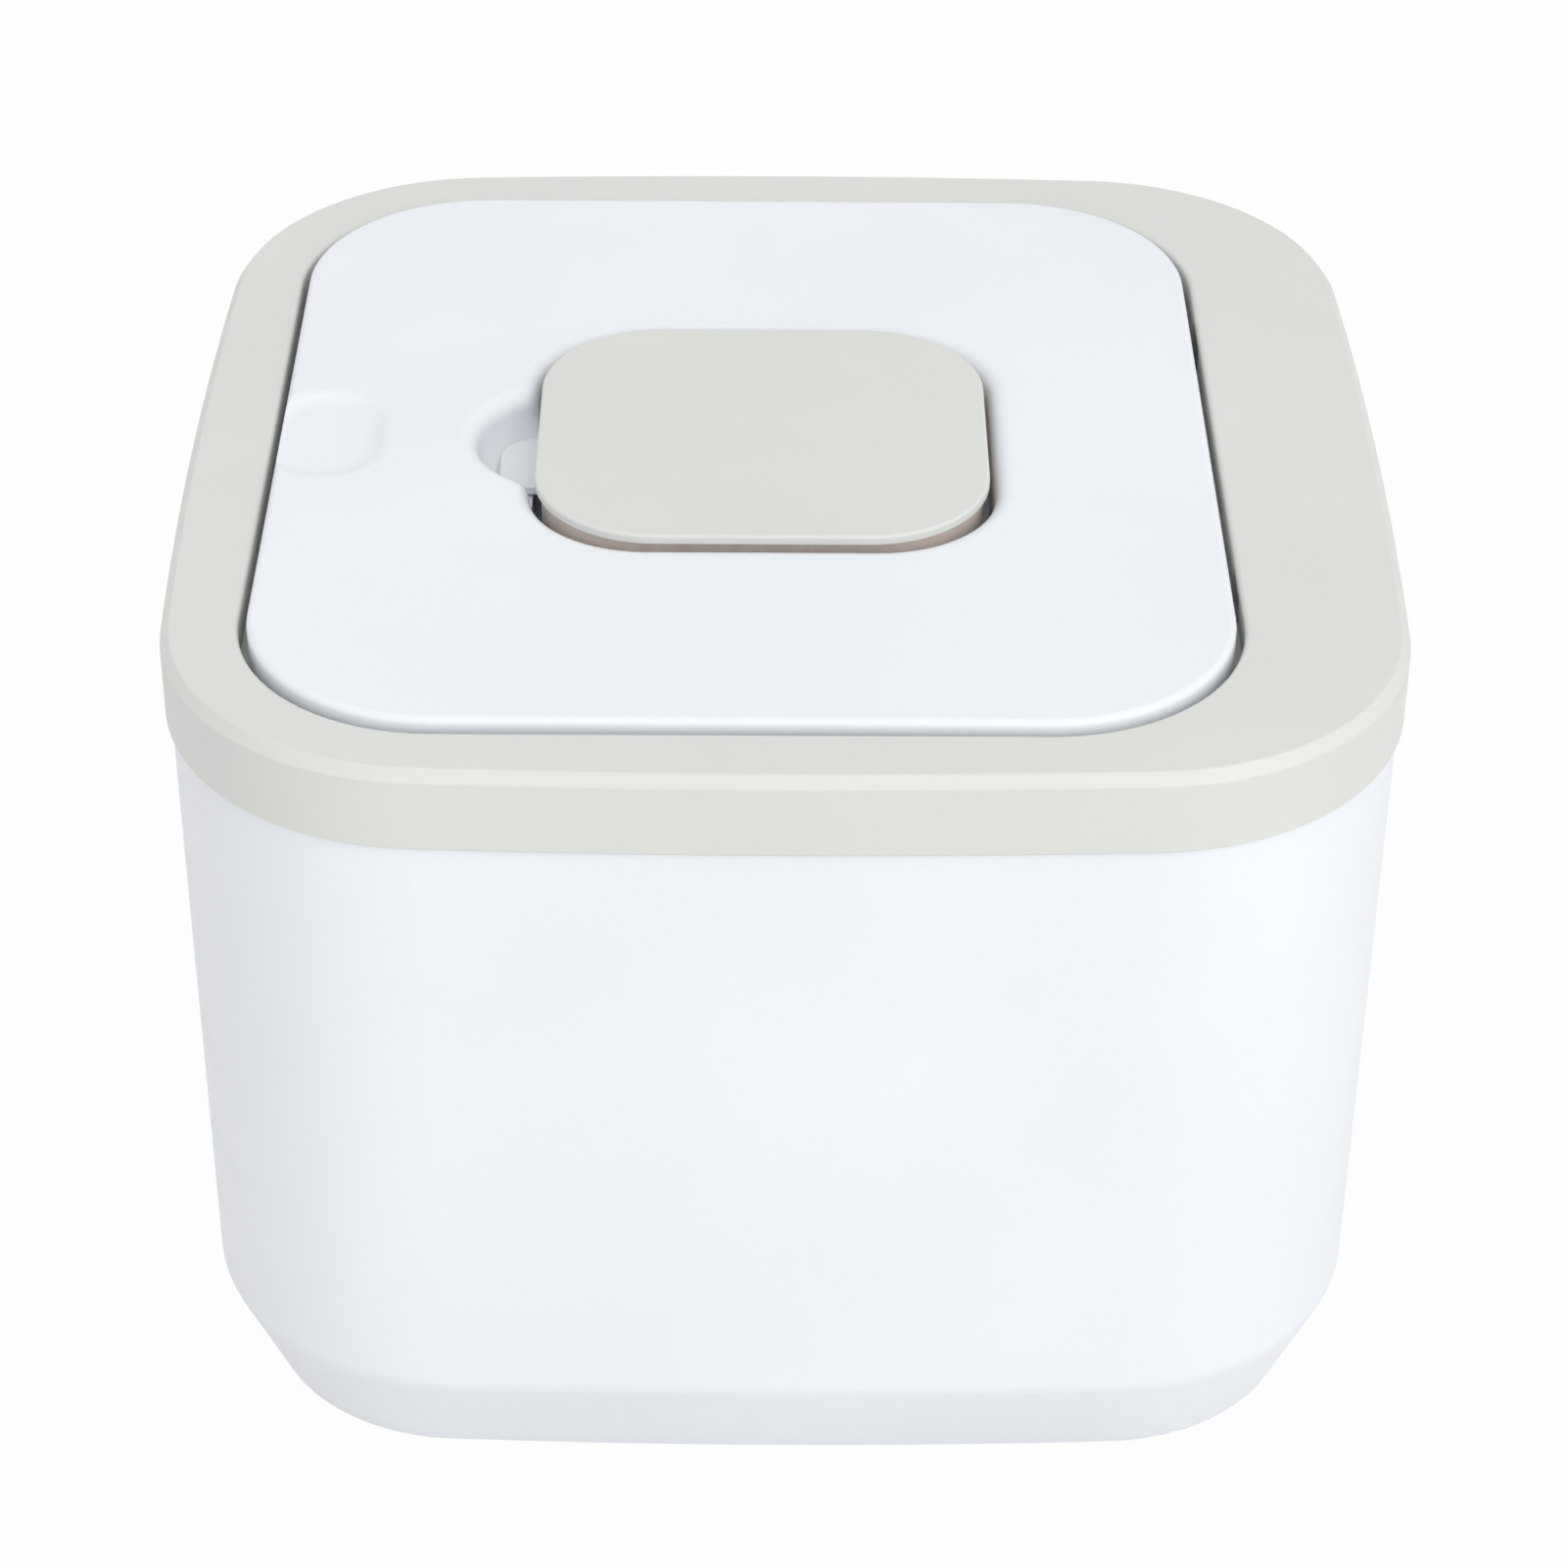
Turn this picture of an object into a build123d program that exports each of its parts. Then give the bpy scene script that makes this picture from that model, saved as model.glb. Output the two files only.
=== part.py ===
"""Square rice storage bin with a lift-off lid frame, a press-to-open flip lid and a repellent box.

Millimetres. +Z is up and the origin is the middle of the base on the standing surface.
The flip lid is hinged on the +X side, its press dish is on the -X side, and -Y is the front.
"""
import os
from math import cos, radians, sin, sqrt

from build123d import *

# Overall size and plan outline
WIDTH = 260.0                 # lid frame, side to side and front to back
FRAME_TOP = 188.5             # standing surface to the frame's top face
SIDE_RADIUS = 1660.0          # the slow bow of each side
CORNER_RADIUS = 57.0

# Bin
BIN_WALL = 2.4
BIN_FLOOR = 2.6
BODY_TOP_INSET = 1.2          # bin wall in from the frame's outline, under the skirt
CREASE_INSET = 1.95            # the same where the side turns in to the base
BASE_INSET = 12.65             # the same on the standing surface
CREASE_HEIGHT = 25.8
CREASE_FILLET = 7.0
BASE_FILLET = 2.0
RIM_ROUND = 0.5
FOOT_RING_WIDTH = 9.0
FOOT_RECESS = 1.2

# Lid frame
SKIRT_HEIGHT = 18.5
SKIRT_WALL = 1.8
SKIRT_ROUND = 0.5             # skirt's lower outer edge
SKIRT_GAP = 0.3               # skirt to the bin's neck
SHOULDER_GAP = 0.4            # skirt's lower edge to the bin's shoulder
FRAME_PLATE = 2.4
BEVEL_HEIGHT = 2.5
BEVEL_INSET = 1.85
BEVEL_ROUND = 0.6
POCKET_ROUND = 1.2
PLUG_INSET = 5.9              # ring that goes down inside the bin's neck
PLUG_WALL = 1.8
PLUG_DEPTH = 13.6
PLUG_LIP = 0.7
PLUG_LIP_HEIGHT = 1.2
LEFT_MARGIN = 17.7            # frame outline to the flip lid's pocket
RIGHT_MARGIN = 35.7
FRONT_MARGIN = 16.1
POCKET_RADIUS = 41.8
POCKET_WALL = 2.0
POCKET_DEPTH = 7.8
LEDGE = 2.0
COLLAR_DEPTH = 5.0
RIB_COUNT = 3
RIB_PITCH = 26.0
RIB_WALL = 1.6
RIB_DEPTH = 9.0

# Seal between the frame and the bin
FRAME_SEAL_BAND = 1.0
FRAME_SEAL_HEIGHT = 6.0
FRAME_SEAL_LIP = 1.2
FRAME_SEAL_GAP = 0.3          # lip tip to the bin's neck

# Ledge between the pocket wall and the mouth
LEFT_LEDGE = 24.3             # room for the latch and the lid seal
RIGHT_LEDGE = 32.3            # room for the lid seal and the hinge arms
END_LEDGE = 16.9
MOUTH_RADIUS = 30.0

# Flip lid
LID_GAP = 1.8                 # lid to the pocket wall
LID_PROUD = 1.8               # lid's top above the frame's top
LID_PANEL = 2.2
LID_RIM = 6.4
LID_RIM_WALL = 2.0
LID_ROUND = 1.5
POST_RADIUS = 2.6

# Press dish at the lid's free edge
DISH_LENGTH = 23.2
DISH_OVERRUN = 3.0            # its outline's run past the lid's free edge, which narrows it there
DISH_WIDTH = 36.8
DISH_RADIUS = 12.2
DISH_STRAIGHT = 0.3           # least straight run between two corners
DISH_DEPTH = 1.4
DISH_SLOPE = 3.2              # run of its sloping wall
DISH_HOLLOW = 7.0             # hollow curve between its floor and its wall
DISH_EDGE = 4.5
DISH_BACKING = 1.6

# Liner and seal under the flip lid
LINER = 2.0
LINER_GAP = 0.3
LINER_REACH = 8.5             # liner past the mouth, towards the hinge
LID_SEAL_START = 1.5          # outside the mouth's edge
LID_SEAL_WIDTH = 4.5
LID_SEAL_HEIGHT = 3.0
SEAL_RIB_WALL = 1.0
SEAL_RIB_DEPTH = 1.6
SEAL_RIB_GAP = 0.2
LINER_PLUG_GAP = 0.9
LINER_PLUG_WALL = 1.6
LINER_PLUG_DEPTH = 9.0

# Repellent well, box and cap
CAP_LEFT_MARGIN = 56.5        # lid's free edge to the cap
CAP_RIGHT_MARGIN = 48.5
CAP_END_MARGIN = 67.1
CAP_RADIUS = 26.5
CAP_STRAIGHT = 2.0            # least straight run between two corners
CAP_PLATE = 2.1
CAP_PROUD = 1.6               # cap's top above the lid's top
CAP_ROUND = 0.7
CAP_GAP = 1.1                 # cap to the well wall
CAP_SKIRT_WALL = 1.4
CAP_SKIRT_DEPTH = 2.2
CAP_SKIRT_GAP = 0.25
WELL_WALL = 1.8
WELL_ROUND = 4.2
WELL_CORNER_EASE = 2.0        # tighter corners than the cap's, which widens the gap there
WELL_COLLAR = 2.6             # extra wall under the well's round edge
WELL_DEPTH = 18.0
BOX_GAP = 2.6                 # box to the well wall, under the cap's overhang
BOX_WALL = 1.6
SCOOP_RADIUS = 20.5
SCOOP_INSET = 7.2             # scoop's centre in from the cap's left edge
SCOOP_DEPTH = 10.0
SCOOP_BLEND = 6.0
SCOOP_BOWL = 5.6
TAB_REACH = 10.0
TAB_WIDTH = 21.0
TAB_RADIUS = 7.5
TAB_THICKNESS = 1.6
TAB_DROP = 7.6                # lid's top down to the tab
VENT_PITCH = 8.6
VENT_WIDTH = 2.6
VENT_BAR = 10.0               # solid bar between the two rows
VENT_END = 10.2               # row end to the box's inner wall
VENT_SIDE = 11.0              # outermost slot to the box's inner wall, at least

# Hinge under the frame's wide right margin
HINGE_OUTBOARD = 6.5          # pin axis outside the pocket wall
HINGE_DROP = 5.6              # pin axis below the frame's top
HINGE_SET_IN = 18.9           # middle of each hinge in from the end of the lid's straight edge
PIN_RADIUS = 1.5
PIN_HEAD_RADIUS = 2.6
PIN_HEAD = 1.2
PIN_END = 0.8
ARM_WALL = 3.0
ARM_WIDTH = 7.2
ARM_SIDE_GAP = 0.4
ARM_HOLE_GAP = 0.06
HUB_RADIUS = 2.7
SPOKE_LEFT = 1.0              # arm's spoke either side of the pin axis
SPOKE_RIGHT = 2.0
HINGE_BOX_GAP = 0.8           # arm to the hinge box
HINGE_BOX_WALL = 2.0
HINGE_BOX_RIGHT = 4.2         # pin axis to the box's inner right wall
EAR_WALL = 3.0                # box ends that carry the pin
EAR_HOLE_GAP = 0.03
SPRING_SPACE = 6.4
HINGE_TURNS = 4
HINGE_WIRE = 0.7
HINGE_COIL_RADIUS = 2.2
HINGE_PITCH = 1.2
HINGE_LEG = 9.0
PEG_RADIUS = 0.8
PEG_LENGTH = 1.6
PEG_DROP = 6.0                # pegs that take the spring's legs, below the pin axis
PEG_GAP = 0.15

# Press latch under the dish
LATCH_INSET = 10.3            # latch middle in from the pocket wall
LATCH_LENGTH = 9.0
LATCH_WIDTH = 17.0
LATCH_WALL = 1.2
LATCH_DEPTH = 24.2
LATCH_FLANGE = 1.2
LATCH_FLANGE_SIDE = 2.0
LATCH_FLANGE_END = 3.5
LATCH_HOLE_GAP = 0.15
LATCH_BARB = 1.0
LATCH_BARB_HEIGHT = 2.2
SLIDER_GAP = 0.2
SLIDER_HEIGHT = 7.0
SLIDER_FLOAT = 8.6            # spring space under the slider
JAW_HEIGHT = 7.0
JAW_WALL = 2.0
JAW_HOOK = 2.0
JAW_HOOK_HEIGHT = 2.0
CAM_CHANNEL_DEPTH = 1.4
CAM_CHANNEL_WIDTH = 7.0
CAM_SIZE = 2.4
CAM_HEIGHT = 0.9
SPRING_POST_RADIUS = 1.4
SPRING_POST = 3.0
LATCH_TURNS = 6
LATCH_WIRE = 0.6
LATCH_COIL_RADIUS = 2.2
FOLLOWER_WIRE = 0.9
FOLLOWER_SIDE = 2.6
FOLLOWER_LENGTH = 12.0
FOLLOWER_TIP = 1.1
STRIKER_BASE = 1.3
STRIKER_STEM = 2.4
STRIKER_HEAD = 7.0
STRIKER_HEAD_HEIGHT = 3.4
STRIKER_HEAD_CLEAR = 0.6      # striker's head below the jaws' hooks

# Levels worked out from the sizes above
LID_TOP = FRAME_TOP + LID_PROUD
PANEL_UNDER = LID_TOP - LID_PANEL
PLATE_UNDER = FRAME_TOP - FRAME_PLATE
SKIRT_BOTTOM = FRAME_TOP - SKIRT_HEIGHT
SHOULDER = SKIRT_BOTTOM - SHOULDER_GAP
NECK_INSET = SKIRT_WALL + SKIRT_GAP
NECK_INNER = BODY_TOP_INSET + BIN_WALL
LEDGE_TOP = FRAME_TOP - POCKET_DEPTH
LEDGE_UNDER = LEDGE_TOP - LEDGE
LINER_UNDER = LEDGE_TOP + LID_SEAL_HEIGHT
LINER_TOP = LINER_UNDER + LINER
WELL_FLOOR_TOP = LID_TOP - WELL_DEPTH
WELL_UNDER = WELL_FLOOR_TOP - WELL_WALL
SCOOP_FLOOR = LID_TOP - SCOOP_DEPTH
CAP_TOP = LID_TOP + CAP_PROUD
CAP_UNDER = CAP_TOP - CAP_PLATE
POCKET_LEFT = LEFT_MARGIN - WIDTH / 2
POCKET_RIGHT = WIDTH / 2 - RIGHT_MARGIN
POCKET_HALF_DEPTH = WIDTH / 2 - FRONT_MARGIN
LID_LEFT = POCKET_LEFT + LID_GAP
LID_RIGHT = POCKET_RIGHT - LID_GAP
LID_HALF_DEPTH = POCKET_HALF_DEPTH - LID_GAP
MOUTH_LEFT = POCKET_LEFT + LEFT_LEDGE
MOUTH_RIGHT = POCKET_RIGHT - RIGHT_LEDGE
MOUTH_HALF_DEPTH = POCKET_HALF_DEPTH - END_LEDGE
CAP_LEFT = LID_LEFT + CAP_LEFT_MARGIN
CAP_RIGHT = LID_RIGHT - CAP_RIGHT_MARGIN
CAP_HALF_DEPTH = LID_HALF_DEPTH - CAP_END_MARGIN
CAP_CENTRE_X = (CAP_LEFT + CAP_RIGHT) / 2
CAP_CORNER = min(CAP_RADIUS, CAP_HALF_DEPTH - CAP_STRAIGHT, (CAP_RIGHT - CAP_LEFT) / 2 - CAP_STRAIGHT)
SCOOP_CENTRE_X = CAP_LEFT + SCOOP_INSET
LINER_RIGHT = MOUTH_RIGHT + LINER_REACH
LATCH_X = POCKET_LEFT + LATCH_INSET
HINGE_STATION = POCKET_HALF_DEPTH - POCKET_RADIUS - HINGE_SET_IN
PIN_X = POCKET_RIGHT + HINGE_OUTBOARD
PIN_Z = FRAME_TOP - HINGE_DROP
ARM_INNER = HINGE_OUTBOARD + LID_GAP
ARM_OUTER = ARM_INNER + ARM_WALL
PEG_OFFSET = HINGE_COIL_RADIUS - HINGE_WIRE / 2 - PEG_GAP - PEG_RADIUS
LATCH_BOTTOM = LEDGE_TOP - LATCH_DEPTH
LATCH_FLOOR = LATCH_BOTTOM + LATCH_WALL
SLIDER_BOTTOM = LATCH_FLOOR + SLIDER_FLOAT
SLIDER_TOP = SLIDER_BOTTOM + SLIDER_HEIGHT
JAW_TOP = SLIDER_TOP + JAW_HEIGHT


def shell_outline(inset):
    """Bowed square plan of the bin and frame, moved in by inset."""
    half = WIDTH / 2 - inset
    side = SIDE_RADIUS - inset
    corner = CORNER_RADIUS - inset
    side_centre = WIDTH / 2 - SIDE_RADIUS
    between = SIDE_RADIUS - CORNER_RADIUS
    corner_centre = (side_centre + sqrt(2 * between**2 - side_centre**2)) / 2
    tangent = Vector(corner_centre - side_centre, corner_centre) / between
    join = Vector(side_centre, 0) + tangent * side
    middle = corner_centre + corner / sqrt(2)
    right = ThreePointArc((join.X, -join.Y), (half, 0), (join.X, join.Y))
    turn = ThreePointArc((join.X, join.Y), (middle, middle), (join.Y, join.X))
    edges = [Rot(0, 0, 90 * k) * edge for k in range(4) for edge in (right, turn)]
    return upward(make_face(edges))


def upward(face):
    """The same flat face with its normal along +Z."""
    flat = face.faces()[0]
    return flat if flat.normal_at().Z > 0 else -flat


def rounded(left, right, half_depth, radius):
    """Rounded rectangle between two x places, even about the centre line."""
    return Pos((left + right) / 2, 0) * RectangleRounded(right - left, 2 * half_depth, radius)


def pocket_outline(inset):
    half_depth = POCKET_HALF_DEPTH - inset
    return rounded(POCKET_LEFT + inset, POCKET_RIGHT - inset, half_depth, POCKET_RADIUS - inset)


def lid_outline(inset):
    return pocket_outline(LID_GAP + inset)


def mouth_outline(inset):
    return rounded(MOUTH_LEFT + inset, MOUTH_RIGHT - inset, MOUTH_HALF_DEPTH - inset, MOUTH_RADIUS - inset)


def cap_outline(inset):
    return rounded(CAP_LEFT + inset, CAP_RIGHT - inset, CAP_HALF_DEPTH - inset, CAP_CORNER - inset)


def well_outline(inset):
    grow = CAP_GAP - inset
    corner = CAP_CORNER + grow - WELL_CORNER_EASE
    return rounded(CAP_LEFT - grow, CAP_RIGHT + grow, CAP_HALF_DEPTH + grow, corner)


def scooped_outline(inset):
    """Well outline joined to the finger scoop on its left, with blended inner corners."""
    joined = well_outline(0) + Pos(SCOOP_CENTRE_X, 0) * Circle(SCOOP_RADIUS)
    return offset(offset(joined, SCOOP_BLEND), -SCOOP_BLEND - inset)


def prism(sketch, low, high):
    """Upright solid of a plan sketch between two heights."""
    return Pos(0, 0, low) * extrude(sketch, high - low, dir=(0, 0, 1))


def between(sketches_at):
    """Ruled solid through plan outlines, given as (sketch, height) pairs."""
    return loft([Pos(0, 0, height) * upward(sketch) for sketch, height in sketches_at], ruled=True)


def block(x_low, x_high, y_low, y_high, z_low, z_high):
    middle = ((x_low + x_high) / 2, (y_low + y_high) / 2, (z_low + z_high) / 2)
    return Pos(*middle) * Box(x_high - x_low, y_high - y_low, z_high - z_low)


def rod(x, z, radius, y_low, y_high):
    """Cylinder along Y."""
    return Pos(x, (y_low + y_high) / 2, z) * Rot(90, 0, 0) * Cylinder(radius, abs(y_high - y_low))


def edges_at(part, height, inside=None):
    """Edges that lie flat at a height, optionally only those inside a plan box."""
    flat = part.edges().filter_by(lambda e: all(abs(v.Z - height) < 0.01 for v in e.vertices()))
    flat = flat.filter_by(lambda e: abs(e.center().Z - height) < 0.01)
    if inside is None:
        return flat
    x_low, x_high, y_half = inside
    return flat.filter_by(lambda e: x_low < e.center().X < x_high and abs(e.center().Y) < y_half)


def coil_path(radius, pitch, half_turns):
    """Open coil about Z from half-turn arcs, each tilted by half a pitch."""
    middle = sqrt(radius**2 + (pitch / 4) ** 2)
    arcs = []
    for k in range(half_turns):
        side = 1 if k % 2 == 0 else -1
        low = k * pitch / 2
        start = (side * radius, 0, low)
        halfway = (0, side * middle, low + pitch / 4)
        end = (-side * radius, 0, low + pitch / 2)
        arcs.append(ThreePointArc(start, halfway, end))
    return arcs


def least_gap(path, wire):
    """Clear space between neighbouring turns of a coil, measured on points along its path."""
    count = 40 * len(path.edges())
    points = [path @ (k / count) for k in range(count + 1)]
    apart = round(count * wire * 3 / path.length)
    gaps = [(points[i] - points[j]).length for i in range(count) for j in range(i + apart, count + 1)]
    return min(gaps) - wire


def make_bin_body():
    slope = (BASE_INSET - CREASE_INSET) / CREASE_HEIGHT
    slant_wall = BIN_WALL * sqrt(1 + slope**2)
    floor_inset = BASE_INSET - slope * BIN_FLOOR + slant_wall
    inner_crease = CREASE_INSET + BIN_WALL
    inner_crease_height = (BASE_INSET + slant_wall - inner_crease) / slope
    rim = PLATE_UNDER

    outside = between([
        (shell_outline(BASE_INSET), 0),
        (shell_outline(CREASE_INSET), CREASE_HEIGHT),
        (shell_outline(BODY_TOP_INSET), SHOULDER),
    ])
    outside = fillet(edges_at(outside, CREASE_HEIGHT), CREASE_FILLET)
    outside = fillet(edges_at(outside, 0), BASE_FILLET)
    neck = prism(shell_outline(NECK_INSET), SHOULDER, rim)
    hollow = between([
        (shell_outline(floor_inset), BIN_FLOOR),
        (shell_outline(inner_crease), inner_crease_height),
        (shell_outline(NECK_INNER), rim),
    ])
    hollow = fillet(edges_at(hollow, inner_crease_height), CREASE_FILLET - BIN_WALL)
    hollow = fillet(edges_at(hollow, BIN_FLOOR), BASE_FILLET)
    recess = prism(shell_outline(BASE_INSET + FOOT_RING_WIDTH), 0, FOOT_RECESS)
    bin_body = outside + neck - hollow - recess
    return fillet(edges_at(bin_body, rim), RIM_ROUND)


def make_lid_frame():
    frame = between([
        (shell_outline(0), SKIRT_BOTTOM),
        (shell_outline(0), FRAME_TOP - BEVEL_HEIGHT),
        (shell_outline(BEVEL_INSET), FRAME_TOP),
    ])
    frame = fillet(edges_at(frame, FRAME_TOP) + edges_at(frame, FRAME_TOP - BEVEL_HEIGHT), BEVEL_ROUND)
    frame = fillet(edges_at(frame, SKIRT_BOTTOM), SKIRT_ROUND)
    frame -= prism(shell_outline(SKIRT_WALL), SKIRT_BOTTOM, PLATE_UNDER)

    plug_bottom = PLATE_UNDER - PLUG_DEPTH
    plug = prism(shell_outline(PLUG_INSET), plug_bottom, PLATE_UNDER)
    plug += prism(shell_outline(PLUG_INSET - PLUG_LIP), plug_bottom, plug_bottom + PLUG_LIP_HEIGHT)
    frame += plug - prism(shell_outline(PLUG_INSET + PLUG_WALL), plug_bottom, PLATE_UNDER)

    frame += prism(pocket_outline(-POCKET_WALL), LEDGE_UNDER, PLATE_UNDER)
    for side in (-1, 1):
        frame += hinge_box(side, HINGE_BOX_WALL, EAR_WALL)
    frame += prism(mouth_outline(-POCKET_WALL), LEDGE_UNDER - COLLAR_DEPTH, LEDGE_UNDER)

    frame -= prism(pocket_outline(0), LEDGE_TOP, FRAME_TOP)
    frame -= prism(mouth_outline(0), LEDGE_UNDER - COLLAR_DEPTH, LEDGE_TOP)
    pocket_edge = edges_at(frame, FRAME_TOP, (POCKET_LEFT - 1, POCKET_RIGHT + 1, POCKET_HALF_DEPTH + 1))
    frame = fillet(pocket_edge, POCKET_ROUND)

    rib_end = WIDTH / 2 - PLUG_INSET - PLUG_WALL
    for k in range(RIB_COUNT):
        y = (k - (RIB_COUNT - 1) / 2) * RIB_PITCH
        rib = block(POCKET_RIGHT + POCKET_WALL, rib_end, y - RIB_WALL / 2, y + RIB_WALL / 2,
                    PLATE_UNDER - RIB_DEPTH, PLATE_UNDER)
        frame += rib & prism(shell_outline(PLUG_INSET), 0, PLATE_UNDER)

    for side in (-1, 1):
        frame -= hinge_box(side, 0, 0)
        low, high = hinge_ends(side)
        frame -= rod(PIN_X, PIN_Z, PIN_RADIUS + EAR_HOLE_GAP, low, high)
        wall = side * (max(abs(low), abs(high)) - EAR_WALL)
        peg_span = sorted((wall, wall - side * PEG_LENGTH))
        frame += rod(PIN_X - PEG_OFFSET, PIN_Z - PEG_DROP, PEG_RADIUS, *peg_span)
    hole_x = LATCH_LENGTH / 2 + LATCH_HOLE_GAP
    hole_y = LATCH_WIDTH / 2 + LATCH_HOLE_GAP
    frame -= block(LATCH_X - hole_x, LATCH_X + hole_x, -hole_y, hole_y, LEDGE_UNDER, LEDGE_TOP)
    return frame


def hinge_spans(side):
    """Places along Y of one hinge, from its outer end inwards: outer ear, spring, arm, inner ear."""
    width = 2 * EAR_WALL + SPRING_SPACE + ARM_WIDTH + 2 * ARM_SIDE_GAP
    at = HINGE_STATION + width / 2
    spans = {}
    for name, size in (("outer_ear", EAR_WALL), ("spring", SPRING_SPACE), ("gap_a", ARM_SIDE_GAP),
                       ("arm", ARM_WIDTH), ("gap_b", ARM_SIDE_GAP), ("inner_ear", EAR_WALL)):
        spans[name] = tuple(sorted((side * at, side * (at - size))))
        at -= size
    return spans


def hinge_ends(side):
    """Both ends along Y of one hinge box."""
    places = [y for span in hinge_spans(side).values() for y in span]
    return min(places), max(places)


def hinge_box(side, wall, end):
    """Box under the frame's plate that an arm turns in, grown by its walls, or its space with none."""
    low, high = hinge_ends(side)
    reach = ARM_OUTER + HINGE_BOX_GAP + wall
    inset = EAR_WALL - end
    return block(PIN_X - reach, PIN_X + HINGE_BOX_RIGHT + wall, low + inset, high - inset,
                 PIN_Z - reach, PLATE_UNDER)


def make_arm(side):
    """Hook from the lid's rim, round under the frame's edge and up to a hub on the pin."""
    low, high = hinge_spans(side)["arm"]
    ring = Circle(ARM_OUTER) - Circle(ARM_INNER)
    width = ARM_OUTER + SPOKE_RIGHT
    lower_left = Pos((SPOKE_RIGHT - ARM_OUTER) / 2, -ARM_OUTER / 2) * Rectangle(width, ARM_OUTER)
    leg_height = PANEL_UNDER - PIN_Z
    leg = Pos(-(ARM_INNER + ARM_OUTER) / 2, leg_height / 2) * Rectangle(ARM_WALL, leg_height)
    spoke_height = (ARM_INNER + ARM_OUTER) / 2
    spoke = Pos((SPOKE_RIGHT - SPOKE_LEFT) / 2, -spoke_height / 2)
    spoke *= Rectangle(SPOKE_LEFT + SPOKE_RIGHT, spoke_height)
    profile = (ring & lower_left) + leg + spoke + Circle(HUB_RADIUS) - Circle(PIN_RADIUS + ARM_HOLE_GAP)
    plane = Plane(origin=(PIN_X, high, PIN_Z), x_dir=(1, 0, 0), z_dir=(0, -1, 0))
    face = high if side > 0 else low
    peg = rod(PIN_X + PEG_OFFSET, PIN_Z - PEG_DROP, PEG_RADIUS, *sorted((face, face + side * PEG_LENGTH)))
    return extrude(plane * profile, high - low) + peg


def make_frame_seal():
    low = PLATE_UNDER - PLUG_DEPTH + PLUG_LIP_HEIGHT
    high = low + FRAME_SEAL_HEIGHT
    band = PLUG_INSET - FRAME_SEAL_BAND
    tip = NECK_INNER + FRAME_SEAL_GAP
    seal = prism(shell_outline(band), low, high)
    for lip_top in (low + FRAME_SEAL_HEIGHT / 2, high):
        seal += between([(shell_outline(band), lip_top - FRAME_SEAL_LIP), (shell_outline(tip), lip_top)])
    return seal - prism(shell_outline(PLUG_INSET), low, high)


def vents(low, high):
    """Two rows of round-ended slots through a floor, as many as the box has room for."""
    wall = CAP_GAP - BOX_GAP - BOX_WALL
    length = CAP_HALF_DEPTH + wall - VENT_END - VENT_BAR / 2
    room = CAP_RIGHT - CAP_LEFT + 2 * (wall - VENT_SIDE)
    count = int(room / VENT_PITCH) + 1
    slot = SlotOverall(length, VENT_WIDTH, rotation=90)
    places = [
        Pos(CAP_CENTRE_X + (k - (count - 1) / 2) * VENT_PITCH, row * (VENT_BAR + length) / 2)
        for k in range(count) for row in (-1, 1)
    ]
    return prism(Sketch() + [place * slot for place in places], low, high)


def dish_outline(inset):
    left = LID_LEFT - DISH_OVERRUN
    right = LID_LEFT + DISH_LENGTH
    corner = min(DISH_RADIUS, (right - left) / 2 - DISH_STRAIGHT, DISH_WIDTH / 2 - DISH_STRAIGHT)
    return rounded(left + inset, right - inset, DISH_WIDTH / 2 - inset, corner - inset)


def make_dish():
    """Cutter of the press dish: hollow inside, rounded over at its edge, run out past the lid's free edge."""
    floor = LID_TOP - DISH_DEPTH
    hollow = between([(dish_outline(DISH_SLOPE), floor), (dish_outline(0), LID_TOP)])
    hollow = fillet(edges_at(hollow, floor), DISH_HOLLOW)
    around = Pos(LID_LEFT, 0) * Rectangle(4 * DISH_LENGTH, 2 * DISH_WIDTH)
    land = prism(around, floor - DISH_DEPTH, LID_TOP) - hollow
    reach = 1.5 * DISH_LENGTH
    edge = edges_at(land, LID_TOP, (LID_LEFT - reach, LID_LEFT + reach, 0.75 * DISH_WIDTH))
    land = fillet(edge, DISH_EDGE)
    return prism(around, floor, LID_TOP) - land


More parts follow.
